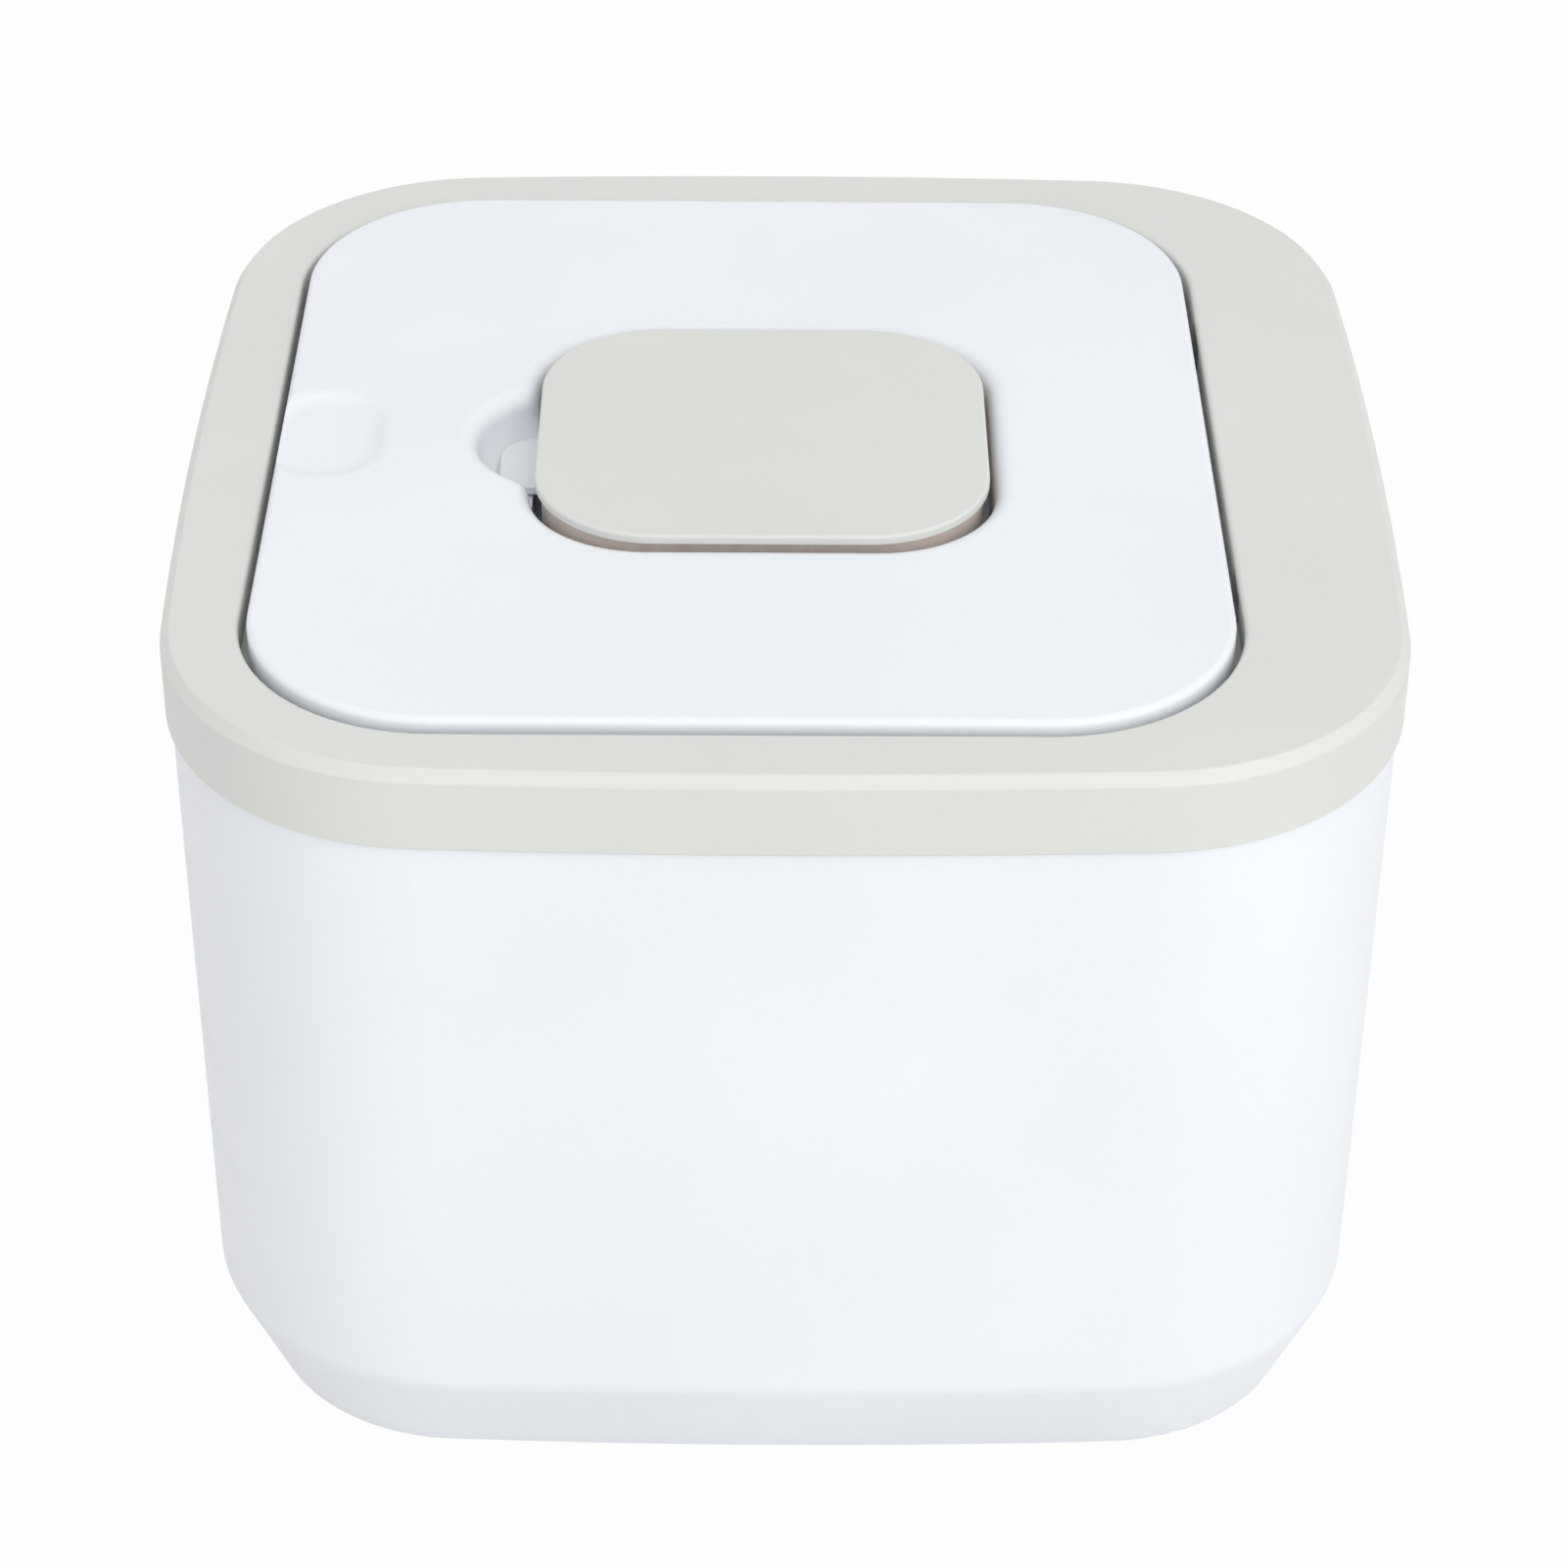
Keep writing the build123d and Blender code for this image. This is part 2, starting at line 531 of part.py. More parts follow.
def make_flip_lid():
    lid = prism(lid_outline(0), LID_TOP - LID_RIM, LID_TOP)
    lid = fillet(edges_at(lid, LID_TOP), LID_ROUND)
    lid -= prism(lid_outline(LID_RIM_WALL), LID_TOP - LID_RIM, PANEL_UNDER)

    left = LID_LEFT + LID_RIM_WALL
    right = LID_LEFT + DISH_LENGTH
    lid += block(left, right, -DISH_WIDTH / 2, DISH_WIDTH / 2, PANEL_UNDER - DISH_BACKING, PANEL_UNDER)
    lid += prism(well_outline(-WELL_WALL), WELL_UNDER, PANEL_UNDER)
    bowl = prism(scooped_outline(-WELL_WALL), SCOOP_FLOOR - WELL_WALL, PANEL_UNDER)
    lid += fillet(edges_at(bowl, SCOOP_FLOOR - WELL_WALL), SCOOP_BOWL + WELL_WALL)
    lid += prism(scooped_outline(-WELL_WALL - WELL_COLLAR), PANEL_UNDER - WELL_COLLAR, PANEL_UNDER)

    scoop = prism(scooped_outline(0), SCOOP_FLOOR, LID_TOP)
    lid -= fillet(edges_at(scoop, SCOOP_FLOOR), SCOOP_BOWL)
    lid -= prism(well_outline(0), WELL_FLOOR_TOP, LID_TOP)
    lid -= vents(WELL_UNDER, WELL_FLOOR_TOP)
    well_half = CAP_HALF_DEPTH + CAP_GAP + LID_GAP
    well_right = CAP_RIGHT + CAP_GAP + LID_GAP
    scoop_left = SCOOP_CENTRE_X - SCOOP_RADIUS - LID_GAP
    lid = fillet(edges_at(lid, LID_TOP, (scoop_left, well_right, well_half)), WELL_ROUND)
    lid -= make_dish()

    for side in (-1, 1):
        lid += make_arm(side)
    for x, y in post_places():
        lid += Pos(x, y, (LINER_TOP + PANEL_UNDER) / 2) * Cylinder(POST_RADIUS, PANEL_UNDER - LINER_TOP)
    return lid


def post_places():
    """Weld posts between the lid panel and its liner, over the lid seal."""
    seal_middle = LID_SEAL_START + LID_SEAL_WIDTH / 2
    left = MOUTH_LEFT - seal_middle
    right = MOUTH_RIGHT + seal_middle - POST_RADIUS
    depth = MOUTH_HALF_DEPTH + seal_middle
    sides = [(left, y) for y in (-MOUTH_HALF_DEPTH / 2, MOUTH_HALF_DEPTH / 2)]
    sides += [(right, y) for y in (-MOUTH_HALF_DEPTH / 2, MOUTH_HALF_DEPTH / 2)]
    ends = [(x, y) for x in (left / 2, right / 2) for y in (-depth, depth)]
    return sides + ends


def make_lid_liner():
    plate = prism(lid_outline(LID_RIM_WALL + LINER_GAP), LINER_UNDER, LINER_TOP)
    liner = plate & block(-WIDTH, LINER_RIGHT, -WIDTH, WIDTH, 0, LID_TOP)
    outer_rib = LID_SEAL_START + LID_SEAL_WIDTH + SEAL_RIB_GAP
    inner_rib = LID_SEAL_START - SEAL_RIB_GAP
    for near, far in ((inner_rib - SEAL_RIB_WALL, inner_rib), (outer_rib, outer_rib + SEAL_RIB_WALL)):
        ring = mouth_outline(-far) - mouth_outline(-near)
        liner += prism(ring, LINER_UNDER - SEAL_RIB_DEPTH, LINER_UNDER)
    guide = mouth_outline(LINER_PLUG_GAP) - mouth_outline(LINER_PLUG_GAP + LINER_PLUG_WALL)
    liner += prism(guide, LINER_UNDER - LINER_PLUG_DEPTH, LINER_UNDER)
    return liner - prism(scooped_outline(-WELL_WALL - WELL_COLLAR - LINER_GAP), LINER_UNDER, LINER_TOP)


def make_lid_seal():
    ring = mouth_outline(-LID_SEAL_START - LID_SEAL_WIDTH) - mouth_outline(-LID_SEAL_START)
    return prism(ring, LEDGE_TOP, LINER_UNDER)


def make_repellent_box():
    box = prism(well_outline(BOX_GAP), WELL_FLOOR_TOP, CAP_UNDER)
    box -= prism(well_outline(BOX_GAP + BOX_WALL), WELL_FLOOR_TOP + BOX_WALL, CAP_UNDER)
    wall_x = CAP_LEFT - CAP_GAP + BOX_GAP
    tab_top = LID_TOP - TAB_DROP
    tab = rounded(wall_x - TAB_REACH, wall_x + TAB_REACH, TAB_WIDTH / 2, TAB_RADIUS)
    tab_solid = prism(tab, tab_top - TAB_THICKNESS, tab_top)
    box += tab_solid & block(-WIDTH, wall_x + BOX_WALL / 2, -TAB_WIDTH, TAB_WIDTH, 0, LID_TOP)
    return box - vents(WELL_FLOOR_TOP, WELL_FLOOR_TOP + BOX_WALL)


def make_repellent_cap():
    cap = prism(cap_outline(0), CAP_UNDER, CAP_TOP)
    cap = fillet(edges_at(cap, CAP_TOP), CAP_ROUND)
    skirt = BOX_GAP + BOX_WALL + CAP_SKIRT_GAP
    ring = well_outline(skirt) - well_outline(skirt + CAP_SKIRT_WALL)
    return cap + prism(ring, CAP_UNDER - CAP_SKIRT_DEPTH, CAP_UNDER)


def make_hinge_pin(side):
    spans = hinge_spans(side)
    outer = spans["outer_ear"][0] if side < 0 else spans["outer_ear"][1]
    inner = spans["inner_ear"][1] if side < 0 else spans["inner_ear"][0]
    shank = rod(PIN_X, PIN_Z, PIN_RADIUS, *sorted((outer, inner - side * PIN_END)))
    head = rod(PIN_X, PIN_Z, PIN_HEAD_RADIUS, *sorted((outer, outer + side * PIN_HEAD)))
    return shank + head


def make_hinge_spring(side):
    """Torsion spring on the pin, one leg on the box's peg and the other on the arm's; the pair is handed."""
    low, high = hinge_spans(-1)["spring"]
    half_turns = 2 * HINGE_TURNS + 1
    length = half_turns * HINGE_PITCH / 2
    path = Wire([
        Line((HINGE_COIL_RADIUS, -HINGE_LEG, 0), (HINGE_COIL_RADIUS, 0, 0)),
        *coil_path(HINGE_COIL_RADIUS, HINGE_PITCH, half_turns),
        Line((-HINGE_COIL_RADIUS, 0, length), (-HINGE_COIL_RADIUS, -HINGE_LEG, length)),
    ])
    print("hinge spring least gap", round(least_gap(path, HINGE_WIRE), 3))
    start = Plane(origin=path @ 0, z_dir=path % 0)
    coil = sweep(start * Circle(HINGE_WIRE / 2), path)
    space = (high - low - length) / 2
    turn = Plane(origin=(PIN_X, low + space, PIN_Z), x_dir=(-1, 0, 0), z_dir=(0, 1, 0))
    front = turn * coil
    return front if side < 0 else mirror(front, about=Plane.XZ)


def make_latch_housing():
    half_x, half_y = LATCH_LENGTH / 2, LATCH_WIDTH / 2
    housing = block(LATCH_X - half_x, LATCH_X + half_x, -half_y, half_y, LATCH_BOTTOM, LEDGE_TOP)
    flange_x, flange_y = half_x + LATCH_FLANGE_SIDE, half_y + LATCH_FLANGE_END
    flange_top = LEDGE_TOP + LATCH_FLANGE
    housing += block(LATCH_X - flange_x, LATCH_X + flange_x, -flange_y, flange_y, LEDGE_TOP, flange_top)
    for side in (-1, 1):
        wedge = Polyline(
            (side * half_y, LEDGE_UNDER), (side * (half_y + LATCH_BARB), LEDGE_UNDER),
            (side * half_y, LEDGE_UNDER - LATCH_BARB_HEIGHT), close=True)
        plane = Plane(origin=(LATCH_X - half_x / 2, 0, 0), x_dir=(0, 1, 0), z_dir=(1, 0, 0))
        housing += extrude(plane * make_face(wedge), half_x, dir=(1, 0, 0))
    in_x, in_y = half_x - LATCH_WALL, half_y - LATCH_WALL
    return housing - block(LATCH_X - in_x, LATCH_X + in_x, -in_y, in_y, LATCH_FLOOR, flange_top)


def make_latch_slider():
    half_x = LATCH_LENGTH / 2 - LATCH_WALL - SLIDER_GAP
    half_y = LATCH_WIDTH / 2 - LATCH_WALL - SLIDER_GAP
    slider = block(LATCH_X - half_x, LATCH_X + half_x, -half_y, half_y, SLIDER_BOTTOM, SLIDER_TOP)
    for side in (-1, 1):
        root, face = side * half_y, side * (half_y - JAW_WALL)
        hook = side * (half_y - JAW_WALL - JAW_HOOK)
        profile = Polyline(
            (root, SLIDER_TOP), (root, JAW_TOP), (face, JAW_TOP), (hook, JAW_TOP - JAW_HOOK_HEIGHT / 2),
            (hook, JAW_TOP - JAW_HOOK_HEIGHT), (face, JAW_TOP - JAW_HOOK_HEIGHT), (face, SLIDER_TOP),
            close=True)
        plane = Plane(origin=(LATCH_X - half_x, 0, 0), x_dir=(0, 1, 0), z_dir=(1, 0, 0))
        slider += extrude(plane * make_face(profile), 2 * half_x, dir=(1, 0, 0))
    slider -= block(LATCH_X + half_x - CAM_CHANNEL_DEPTH, LATCH_X + half_x,
                    -CAM_CHANNEL_WIDTH / 2, CAM_CHANNEL_WIDTH / 2, SLIDER_BOTTOM, SLIDER_TOP)
    middle = (SLIDER_BOTTOM + SLIDER_TOP) / 2
    heart = Polyline(
        (0, middle - CAM_SIZE), (CAM_SIZE / 2, middle), (CAM_SIZE / 4, middle + CAM_SIZE / 2),
        (0, middle), (-CAM_SIZE / 4, middle + CAM_SIZE / 2), (-CAM_SIZE / 2, middle), close=True)
    plane = Plane(origin=(LATCH_X + half_x - CAM_CHANNEL_DEPTH, 0, 0), x_dir=(0, 1, 0), z_dir=(1, 0, 0))
    slider += extrude(plane * make_face(heart), CAM_HEIGHT, dir=(1, 0, 0))
    post = Cylinder(SPRING_POST_RADIUS, SPRING_POST)
    return slider + Pos(LATCH_X, 0, SLIDER_BOTTOM - SPRING_POST / 2) * post


def make_latch_spring():
    pitch = (SLIDER_FLOAT - LATCH_WIRE) / LATCH_TURNS
    path = Wire(coil_path(LATCH_COIL_RADIUS, pitch, 2 * LATCH_TURNS))
    print("latch spring least gap", round(least_gap(path, LATCH_WIRE), 3))
    start = Plane(origin=path @ 0, z_dir=path % 0)
    return Pos(LATCH_X, 0, LATCH_FLOOR + LATCH_WIRE / 2) * sweep(start * Circle(LATCH_WIRE / 2), path)


def make_latch_follower():
    """Bent wire that stands on the housing floor beside the cam and keeps the slider down."""
    x = LATCH_X + LATCH_LENGTH / 2 - LATCH_WALL - FOLLOWER_WIRE / 2
    top = LATCH_FLOOR + FOLLOWER_LENGTH
    bend = FilletPolyline(
        (x, FOLLOWER_SIDE, LATCH_FLOOR), (x, FOLLOWER_SIDE, top), (x, FOLLOWER_SIDE - FOLLOWER_TIP, top),
        radius=FOLLOWER_WIRE)
    return sweep(Pos(x, FOLLOWER_SIDE, LATCH_FLOOR) * Circle(FOLLOWER_WIRE / 2), bend)


def make_latch_striker():
    half_x = LATCH_LENGTH / 2 - LATCH_WALL - 2 * SLIDER_GAP
    base = block(LATCH_X - LATCH_LENGTH / 2, LATCH_X + LATCH_LENGTH / 2, -LATCH_WIDTH / 2, LATCH_WIDTH / 2,
                 LINER_UNDER - STRIKER_BASE, LINER_UNDER)
    head_top = JAW_TOP - JAW_HOOK_HEIGHT - STRIKER_HEAD_CLEAR
    stem, head = STRIKER_STEM / 2, STRIKER_HEAD / 2
    profile = Polyline(
        (stem, LINER_UNDER - STRIKER_BASE), (stem, head_top), (head, head_top),
        (stem, head_top - STRIKER_HEAD_HEIGHT), (-stem, head_top - STRIKER_HEAD_HEIGHT),
        (-head, head_top), (-stem, head_top), (-stem, LINER_UNDER - STRIKER_BASE), close=True)
    plane = Plane(origin=(LATCH_X - half_x, 0, 0), x_dir=(0, 1, 0), z_dir=(1, 0, 0))
    return base + extrude(plane * make_face(profile), 2 * half_x, dir=(1, 0, 0))


PARTS = {
    "bin_body": make_bin_body,
    "lid_frame": make_lid_frame,
    "frame_seal": make_frame_seal,
    "flip_lid": make_flip_lid,
    "lid_liner": make_lid_liner,
    "lid_seal": make_lid_seal,
    "repellent_box": make_repellent_box,
    "repellent_cap": make_repellent_cap,
    "hinge_pin_front": lambda: make_hinge_pin(-1),
    "hinge_pin_rear": lambda: make_hinge_pin(1),
    "hinge_spring_front": lambda: make_hinge_spring(-1),
    "hinge_spring_rear": lambda: make_hinge_spring(1),
    "latch_housing": make_latch_housing,
    "latch_slider": make_latch_slider,
    "latch_spring": make_latch_spring,
    "latch_follower": make_latch_follower,
    "latch_striker": make_latch_striker,
}

os.makedirs("parts", exist_ok=True)
for name, make in PARTS.items():
    export_step(make(), f"parts/{name}.step")
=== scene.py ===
# %% [markdown]
# # A rice storage container
# The real object is a square moulded bin. A pale grey frame closes its top, a white flip lid is let
# into that frame, and a grey cap in the middle of the lid covers a small box for insect repellent.
# The solid pieces come from the CAD model, in metres and already in place. This lesson gives them
# finishes, adds the small marks that moulding leaves, and photographs the result in a white studio.

# %% Load the solid pieces
import math

import bpy
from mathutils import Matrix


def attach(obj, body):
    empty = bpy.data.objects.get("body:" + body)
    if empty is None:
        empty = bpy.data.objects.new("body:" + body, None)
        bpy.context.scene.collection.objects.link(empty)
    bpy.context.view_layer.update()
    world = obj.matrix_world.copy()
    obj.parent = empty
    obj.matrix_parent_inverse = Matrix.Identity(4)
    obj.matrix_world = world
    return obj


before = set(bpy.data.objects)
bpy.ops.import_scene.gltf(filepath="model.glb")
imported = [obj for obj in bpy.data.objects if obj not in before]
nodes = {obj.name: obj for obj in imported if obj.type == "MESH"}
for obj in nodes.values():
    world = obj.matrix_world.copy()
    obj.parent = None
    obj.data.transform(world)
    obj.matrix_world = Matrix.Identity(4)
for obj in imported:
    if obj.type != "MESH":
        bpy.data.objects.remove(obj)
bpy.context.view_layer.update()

print("pieces loaded:", len(nodes))

# %% [markdown]
# ## Moulded plastic
# Polypropylene from a polished mould isn't one flat colour. Its tint drifts a little from place to
# place, its gloss is uneven, and a very fine grain breaks up the highlights. Three noise textures on
# Object coordinates give that at true size, because the coordinates are metres on the piece. A
# painted picture could do the same, but it would need unwrapping, and it would blur up close.

# %% A material with its node tree ready
def new_finish(name):
    finish = bpy.data.materials.new(name)
    finish.use_nodes = True
    tree = finish.node_tree
    shader = tree.nodes["Principled BSDF"]
    place = tree.nodes.new("ShaderNodeTexCoord")
    return finish, tree, shader, place.outputs["Object"]


# %% Noise, and the values read from it
NOISE_LOW = 0.3               # a noise texture seldom leaves this range
NOISE_HIGH = 0.7


def noise(tree, place, size_m, detail=2.0):
    node = tree.nodes.new("ShaderNodeTexNoise")
    node.inputs["Scale"].default_value = 1.0 / size_m
    node.inputs["Detail"].default_value = detail
    tree.links.new(place, node.inputs["Vector"])
    return node.outputs["Fac"]


def ramp(tree, value, start, end, low=0.0, high=1.0):
    node = tree.nodes.new("ShaderNodeMapRange")
    node.inputs["From Min"].default_value = start
    node.inputs["From Max"].default_value = end
    node.inputs["To Min"].default_value = low
    node.inputs["To Max"].default_value = high
    tree.links.new(value, node.inputs["Value"])
    return node.outputs["Result"]


def between(tree, factor, low, high):
    return ramp(tree, factor, NOISE_LOW, NOISE_HIGH, low, high)


# %% Two colours mixed, and a bumpy surface
def blend(tree, factor, first, second):
    node = tree.nodes.new("ShaderNodeMix")
    node.data_type = "RGBA"
    for name, colour in (("A", first), ("B", second)):
        if isinstance(colour, tuple):
            node.inputs[name].default_value = (*colour, 1.0)
        else:
            tree.links.new(colour, node.inputs[name])
    tree.links.new(factor, node.inputs["Factor"])
    return node.outputs["Result"]


def bump(tree, shader, height, depth_m, strength):
    node = tree.nodes.new("ShaderNodeBump")
    node.inputs["Distance"].default_value = depth_m
    node.inputs["Strength"].default_value = strength
    tree.links.new(height, node.inputs["Height"])
    tree.links.new(node.outputs["Normal"], shader.inputs["Normal"])


# %% Colours as a screen shows them, turned into light
def linear(red, green, blue):
    def one(value):
        value = value / 255.0
        return value / 12.92 if value <= 0.04045 else ((value + 0.055) / 1.055) ** 2.4
    return one(red), one(green), one(blue)


# %% The moulded finishes
TINT_PATCH = 0.07             # metres across a lighter or darker patch
TINT_DRIFT = 0.018            # how much lighter or darker it is
GLOSS_PATCH = 0.012
GRAIN_SIZE = 0.0006
GRAIN_DEPTH = 0.00002
GRAIN_STRENGTH = 0.35
FINE = 3.0                    # noise detail for a grain
PLASTIC_SHINE = 0.4


def moulded(name, colour, gloss_low, gloss_high):
    finish, tree, shader, place = new_finish(name)
    darker = tuple(c * (1.0 - TINT_DRIFT) for c in colour)
    lighter = tuple(min(1.0, c * (1.0 + TINT_DRIFT)) for c in colour)
    tint = between(tree, noise(tree, place, TINT_PATCH), 0.0, 1.0)
    tree.links.new(blend(tree, tint, darker, lighter), shader.inputs["Base Color"])
    gloss = between(tree, noise(tree, place, GLOSS_PATCH), gloss_low, gloss_high)
    tree.links.new(gloss, shader.inputs["Roughness"])
    grain = noise(tree, place, GRAIN_SIZE, FINE)
    bump(tree, shader, grain, GRAIN_DEPTH, GRAIN_STRENGTH)
    shader.inputs["Specular IOR Level"].default_value = PLASTIC_SHINE
    return finish


WHITE = linear(236, 239, 243)
BOX_WHITE = linear(232, 234, 238)
GREY = linear(217, 219, 215)
LATCH_GREY = linear(190, 192, 190)
white_bin = moulded("bin white moulded", WHITE, 0.34, 0.44)
white_lid = moulded("lid white moulded", WHITE, 0.36, 0.46)
white_box = moulded("box white moulded", BOX_WHITE, 0.38, 0.48)
grey_frame = moulded("frame grey moulded", GREY, 0.34, 0.44)
grey_cap = moulded("cap grey moulded", GREY, 0.36, 0.46)
grey_latch = moulded("latch grey moulded", LATCH_GREY, 0.4, 0.52)
print("white in light:", [round(c, 3) for c in WHITE])
print("grey in light:", [round(c, 3) for c in GREY])

# %% [markdown]
# ## Painted shade in the gap
# The narrow gap round the repellent box lies in shade under the cap, and that shade looks warm
# brown, not grey. Here the shade is painted into the box's colour: its outer walls get a warm
# brownish tint.
# The painting begins at the box's left wall, where the tab ends, so the tab stays white. It thins
# out downwards, and the inside of the box stays unpainted. Each of those limits is a mask, and the
# masks are multiplied.

# %% Masks for the painted shade
def combine(tree, operation, first, second):
    node = tree.nodes.new("ShaderNodeMath")
    node.operation = operation
    tree.links.new(first, node.inputs[0])
    tree.links.new(second, node.inputs[1])
    return node.outputs["Value"]


def facing_out(tree, place, normal, middle):
    away = tree.nodes.new("ShaderNodeVectorMath")
    away.operation = "SUBTRACT"
    away.inputs[1].default_value = middle
    tree.links.new(place, away.inputs[0])
    level = tree.nodes.new("ShaderNodeVectorMath")
    level.operation = "MULTIPLY"
    level.inputs[1].default_value = (1.0, 1.0, 0.0)
    tree.links.new(away.outputs["Vector"], level.inputs[0])
    turn = tree.nodes.new("ShaderNodeVectorMath")
    turn.operation = "DOT_PRODUCT"
    tree.links.new(level.outputs["Vector"], turn.inputs[0])
    tree.links.new(normal, turn.inputs[1])
    return ramp(tree, turn.outputs["Value"], 0.0, 0.01)


# %% Painted shade on the box's outer walls
# The colour of the painted shade: a warm brownish grey that stands in for the shadow in the gap
# round the box.
PAINTED_GAP_SHADE = linear(208, 193, 182)
SHADE_PATCH = 0.004
SHADE_THINNEST = 0.8           # cover in the thinnest patches
SHADE_BLUR = 0.0006            # width of the painted shade's edge at the left wall
SHADE_RISE = 0.012             # full cover this far above the box's underside
SHADE_FALL = 0.002             # and none this far below it
TAB_REACH = 0.010             # how far the tab stands out from the box's left wall


# Paints the warm shade of the gap into the colour of the box's outer walls.
def paint_gap_shade(finish, left, bottom, middle):
    tree = finish.node_tree
    shader = tree.nodes["Principled BSDF"]
    source = tree.nodes["Texture Coordinate"].outputs
    place = source["Object"]
    axes = tree.nodes.new("ShaderNodeSeparateXYZ")
    tree.links.new(place, axes.inputs["Vector"])
    masks = [
        ramp(tree, axes.outputs["Z"], bottom - SHADE_FALL, bottom + SHADE_RISE),
        facing_out(tree, place, source["Normal"], middle),
        between(tree, noise(tree, place, SHADE_PATCH), SHADE_THINNEST, 1.0),
    ]
    shade_cover = ramp(tree, axes.outputs["X"], left, left + SHADE_BLUR)
    for mask in masks:
        shade_cover = combine(tree, "MULTIPLY", shade_cover, mask)
    unshaded = shader.inputs["Base Color"].links[0].from_socket
    tree.links.new(blend(tree, shade_cover, unshaded, PAINTED_GAP_SHADE), shader.inputs["Base Color"])


corners = list(nodes["repellent_box"].bound_box)
box_left = min(corner[0] for corner in corners) + TAB_REACH
box_right = max(corner[0] for corner in corners)
box_low = min(corner[2] for corner in corners)
# Paint the gap's shade onto the repellent box's outer walls. The print gives where the painted shade
# begins and where it fades out.
paint_gap_shade(white_box, box_left, box_low, ((box_left + box_right) / 2, 0.0, 0.0))
print("dust begins at x =", round(box_left, 4), "and thins out towards z =", round(box_low, 4))

# %% [markdown]
# ## Silicone and steel
# The two seals are white silicone: softer in tint, duller, with a trace of dust. The pins and
# springs are drawn steel wire. Drawing leaves a very fine grain on the wire and a little unevenness
# in its shine.

# %% Silicone
SEAL_WHITE = linear(228, 229, 231)
SEAL_DUSTY = 0.93             # a dusty patch keeps this share of the colour


def silicone(name, colour):
    finish, tree, shader, place = new_finish(name)
    dusty = tuple(c * SEAL_DUSTY for c in colour)
    patches = between(tree, noise(tree, place, 0.006, 4.0), 0.0, 1.0)
    tree.links.new(blend(tree, patches, colour, dusty), shader.inputs["Base Color"])
    gloss = between(tree, noise(tree, place, 0.003), 0.52, 0.68)
    tree.links.new(gloss, shader.inputs["Roughness"])
    bump(tree, shader, noise(tree, place, 0.0004, FINE), 0.00003, 0.4)
    return finish


seal_white = silicone("seal silicone", SEAL_WHITE)
print("seal white in light:", [round(c, 3) for c in SEAL_WHITE])

# %% Drawn steel
STEEL_DARK = (0.5, 0.5, 0.52)
STEEL_LIGHT = (0.68, 0.68, 0.7)


def drawn_steel(name):
    finish, tree, shader, place = new_finish(name)
    shader.inputs["Metallic"].default_value = 1.0
    grain = noise(tree, place, 0.0003, FINE)
    tree.links.new(blend(tree, grain, STEEL_DARK, STEEL_LIGHT), shader.inputs["Base Color"])
    gloss = between(tree, noise(tree, place, 0.002), 0.22, 0.4)
    tree.links.new(gloss, shader.inputs["Roughness"])
    bump(tree, shader, grain, 0.00001, 0.3)
    return finish


steel = drawn_steel("drawn steel")

# %% Give each piece its finish
FINISH = {
    "bin_body": white_bin,
    "lid_frame": grey_frame,
    "frame_seal": seal_white,
    "flip_lid": white_lid,
    "lid_liner": white_lid,
    "lid_seal": seal_white,
    "repellent_box": white_box,
    "repellent_cap": grey_cap,
    "hinge_pin_front": steel,
    "hinge_pin_rear": steel,
    "hinge_spring_front": steel,
    "hinge_spring_rear": steel,
    "latch_housing": grey_latch,
    "latch_slider": grey_latch,
    "latch_spring": steel,
    "latch_follower": steel,
    "latch_striker": grey_latch,
}
for name, finish in FINISH.items():
    for place in nodes[name].material_slots:
        place.material = finish
print("pieces finished:", len(FINISH), "of", len(nodes))

# %% [markdown]
# ## Marks left by the mould
# Molten plastic enters the bin's mould through a gate in the middle of the base. When the runner is
# broken off it leaves a small nub in a shallow ringed well. The pins that push the lid's liner out
# of its mould leave faint round prints on the underside. Both could be painted as bump, but they are
# real steps, so they are modelled: one cylinder each, its end face inset and pushed in or out, then
# its edges bevelled.

# %% Helpers for shaping a mark
ROUND_SIDES = 48
SMOOTH_ANGLE = math.radians(40.0)


def round_start(name, radius, low, high):
    bpy.ops.object.select_all(action="DESELECT")
    bpy.ops.mesh.primitive_cylinder_add(
        vertices=ROUND_SIDES, radius=radius, depth=high - low, location=(0.0, 0.0, (low + high) / 2))
    piece = bpy.context.object
    piece.name = name
    bpy.ops.object.transform_apply(location=True, rotation=True, scale=True)
    return piece


def pick_underside(piece):
    bpy.ops.object.mode_set(mode="EDIT")
    bpy.ops.mesh.select_mode(type="FACE")
    bpy.ops.mesh.select_all(action="DESELECT")
    bpy.ops.object.mode_set(mode="OBJECT")
    for face in piece.data.polygons:
        face.select = face.normal.z < -0.9
    bpy.ops.object.mode_set(mode="EDIT")


def push(height):
    bpy.ops.mesh.extrude_region_move(TRANSFORM_OT_translate={"value": (0.0, 0.0, height)})


def soften(piece, width):
    bpy.ops.object.mode_set(mode="OBJECT")
    edge = piece.modifiers.new("soft edges", "BEVEL")
    edge.width = width
    edge.segments = 2
    edge.limit_method = "ANGLE"
    bpy.ops.object.modifier_apply(modifier=edge.name)
    bpy.ops.object.shade_smooth_by_angle(angle=SMOOTH_ANGLE)


# %% The gate mark under the base
SUNK = 0.00005                # how far a mark is let into the piece that carries it
BASE_UNDER = 0.0012           # the recessed underside, above the foot ring
GATE_RADIUS = 0.009
GATE_PROUD = 0.00035
GATE_RIM = 0.0011
GATE_RECESS = 0.8 * GATE_PROUD
GATE_EDGE = 0.00006
NUB_RADIUS = 0.0016
NUB_PROUD = 0.0004

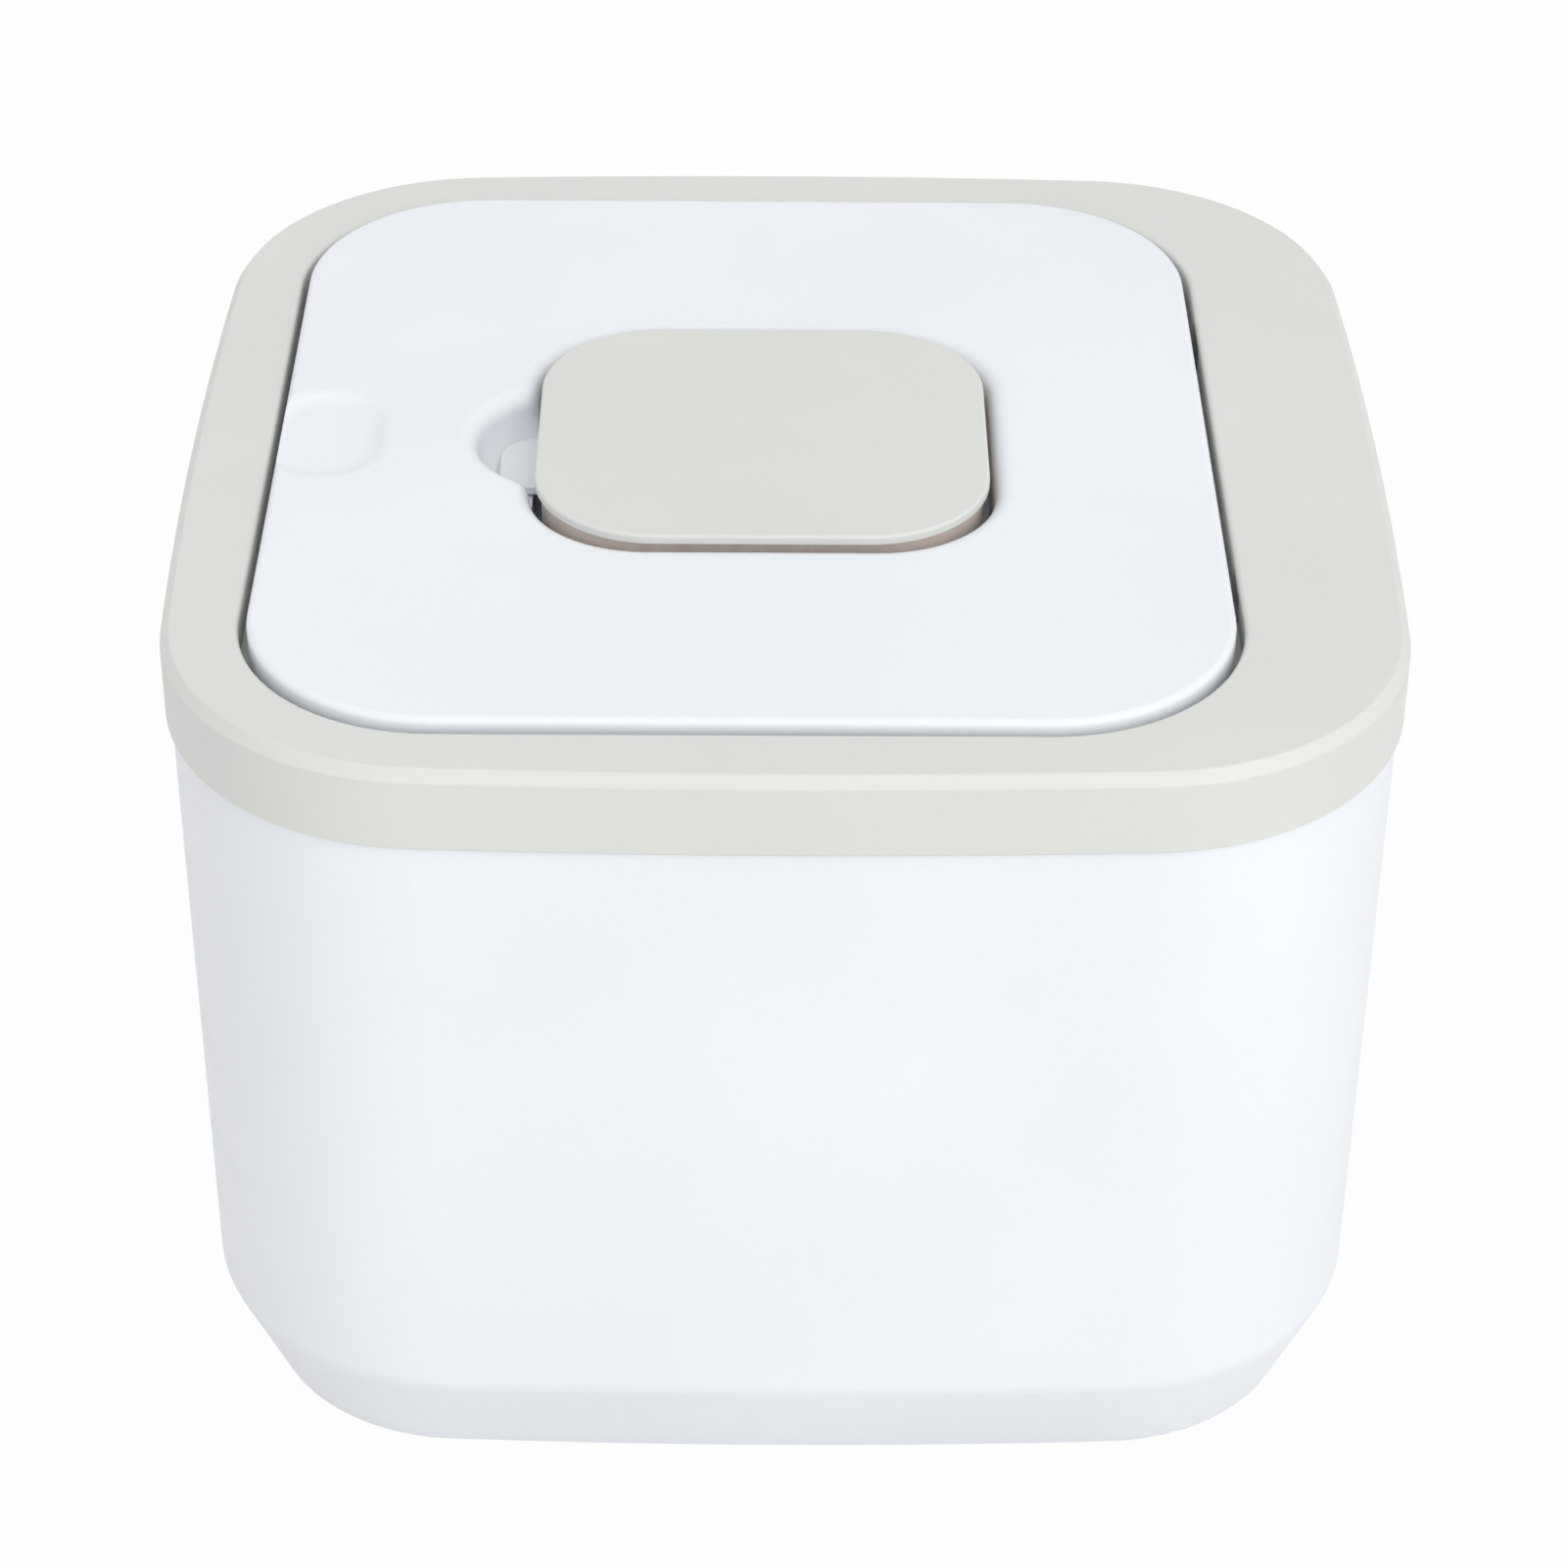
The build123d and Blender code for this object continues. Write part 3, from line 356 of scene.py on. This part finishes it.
gate = round_start("gate_mark", GATE_RADIUS, BASE_UNDER - GATE_PROUD, BASE_UNDER + SUNK)
pick_underside(gate)
bpy.ops.mesh.inset(thickness=GATE_RIM)
push(GATE_RECESS)
bpy.ops.mesh.inset(thickness=GATE_RADIUS - GATE_RIM - NUB_RADIUS)
push(-NUB_PROUD)
soften(gate, GATE_EDGE)
gate.data.materials.append(white_bin)
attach(gate, "bin")
print("gate mark faces:", len(gate.data.polygons))

# %% Ejector prints under the lid's liner
LINER_UNDER = 0.1837
PRINT_RADIUS = 0.004
PRINT_PROUD = 0.00016
PRINT_RIM = 0.00035
PRINT_RECESS = 0.6 * PRINT_PROUD
PRINT_EDGE = 0.00003
PRINT_X = (-0.060, -0.0125, 0.035)
PRINT_Y = (-0.073, 0.073)

pattern = round_start("ejector_print", PRINT_RADIUS, LINER_UNDER - PRINT_PROUD, LINER_UNDER + SUNK)
pick_underside(pattern)
bpy.ops.mesh.inset(thickness=PRINT_RIM)
push(PRINT_RECESS)
soften(pattern, PRINT_EDGE)
pattern.data.materials.append(white_lid)
prints = []
for x in PRINT_X:
    for y in PRINT_Y:
        copy = pattern.copy()
        copy.data = pattern.data.copy()
        copy.name = f"ejector_print_{len(prints) + 1}"
        bpy.context.collection.objects.link(copy)
        copy.location = (x, y, 0.0)
        bpy.ops.object.select_all(action="DESELECT")
        copy.select_set(True)
        bpy.context.view_layer.objects.active = copy
        bpy.ops.object.transform_apply(location=True, rotation=True, scale=True)
        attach(copy, "flip_lid")
        prints.append(copy)
bpy.data.objects.remove(pattern)
print("ejector prints:", len(prints))

# %% [markdown]
# ## The studio
# The photograph has a plain white ground and very even light. A large floor plane shows nearly white
# to the camera and still keeps a trace of the bin's shadow. The world lights all sides evenly. A
# large softbox, in front and a little to the right, brightens the front and the top; because it is
# so large, its reflection doesn't burn out the lid when that is seen from behind. A faint lamp above
# evens out the rest.

# %% Rays that should meet the white ground
def white_rays(tree):
    ray = tree.nodes.new("ShaderNodeLightPath").outputs
    seen = combine(tree, "MAXIMUM", ray["Is Camera Ray"], ray["Is Glossy Ray"])
    return combine(tree, "MAXIMUM", seen, ray["Is Transmission Ray"])


# %% Floor
FLOOR_SIZE = 12.0
FLOOR_BELOW = 0.0002          # keeps the floor clear of the foot ring
FLOOR_WHITE = 0.96            # share of plain white; the rest shows light and shadow

bpy.ops.object.select_all(action="DESELECT")
bpy.ops.mesh.primitive_plane_add(size=FLOOR_SIZE, location=(0.0, 0.0, -FLOOR_BELOW))
floor = bpy.context.object
floor.name = "studio_floor"
ground, tree, shader, place = new_finish("studio white")
shader.inputs["Base Color"].default_value = (0.7, 0.7, 0.7, 1.0)
shader.inputs["Roughness"].default_value = 0.9
glow = tree.nodes.new("ShaderNodeEmission")
glow.inputs["Strength"].default_value = 1.0
both = tree.nodes.new("ShaderNodeMixShader")
seen = ramp(tree, white_rays(tree), 0.0, 1.0, 0.0, FLOOR_WHITE)
tree.links.new(seen, both.inputs["Fac"])
tree.links.new(shader.outputs["BSDF"], both.inputs[1])
tree.links.new(glow.outputs["Emission"], both.inputs[2])
tree.links.new(both.outputs["Shader"], tree.nodes["Material Output"].inputs["Surface"])
floor.data.materials.append(ground)

# %% World light
AMBIENT = 0.81

world = bpy.data.worlds.new("studio")
bpy.context.scene.world = world
world.use_nodes = True
tree = world.node_tree
ambient = tree.nodes["Background"]
ambient.inputs["Color"].default_value = (1.0, 1.0, 1.0, 1.0)
ambient.inputs["Strength"].default_value = AMBIENT
backdrop = tree.nodes.new("ShaderNodeBackground")
backdrop.inputs["Color"].default_value = (1.0, 1.0, 1.0, 1.0)
backdrop.inputs["Strength"].default_value = 1.0
choose = tree.nodes.new("ShaderNodeMixShader")
tree.links.new(white_rays(tree), choose.inputs["Fac"])
tree.links.new(ambient.outputs["Background"], choose.inputs[1])
tree.links.new(backdrop.outputs["Background"], choose.inputs[2])
tree.links.new(choose.outputs["Shader"], tree.nodes["World Output"].inputs["Surface"])


# %% Soft lamps
def soft_lamp(name, place, aim, width, watts):
    data = bpy.data.lights.new(name, "AREA")
    data.shape = "SQUARE"
    data.size = width
    data.energy = watts
    lamp = bpy.data.objects.new(name, data)
    bpy.context.collection.objects.link(lamp)
    lamp.location = place
    x, y, z = (p - a for p, a in zip(place, aim))
    lamp.rotation_euler = (math.atan2(math.hypot(x, y), z), 0.0, math.atan2(x, -y))
    print(name, watts, "W,", width, "m wide")


MIDDLE = (0.0, 0.0, 0.1)
soft_lamp("front softbox", (0.83, -1.57, 1.13), MIDDLE, 2.4, 20.0)
soft_lamp("top softbox", (-0.3, 0.3, 2.0), MIDDLE, 1.2, 0.9)

# %% [markdown]
# ## The camera
# The photograph was matched by fitting a camera to the outlines of the lid, skirt and foot. It
# stands about a metre away, looks down by 35 degrees, and uses a long lens. Places are in metres,
# turns in degrees, and the lens and sensor in millimetres.

# %% Camera
LENS = 99.15
SENSOR = 36.0
CAMERA_PLACE = (-0.0038, -0.81999, 0.66628)
CAMERA_TURN = (55.2416, -0.3628, -0.0334)

data = bpy.data.cameras.new("camera")
data.lens = LENS
data.sensor_width = SENSOR
data.clip_start = 0.01
camera = bpy.data.objects.new("camera", data)
bpy.context.collection.objects.link(camera)
camera.location = CAMERA_PLACE
camera.rotation_euler = [math.radians(angle) for angle in CAMERA_TURN]
bpy.context.scene.camera = camera
bpy.context.scene.view_settings.view_transform = "Standard"
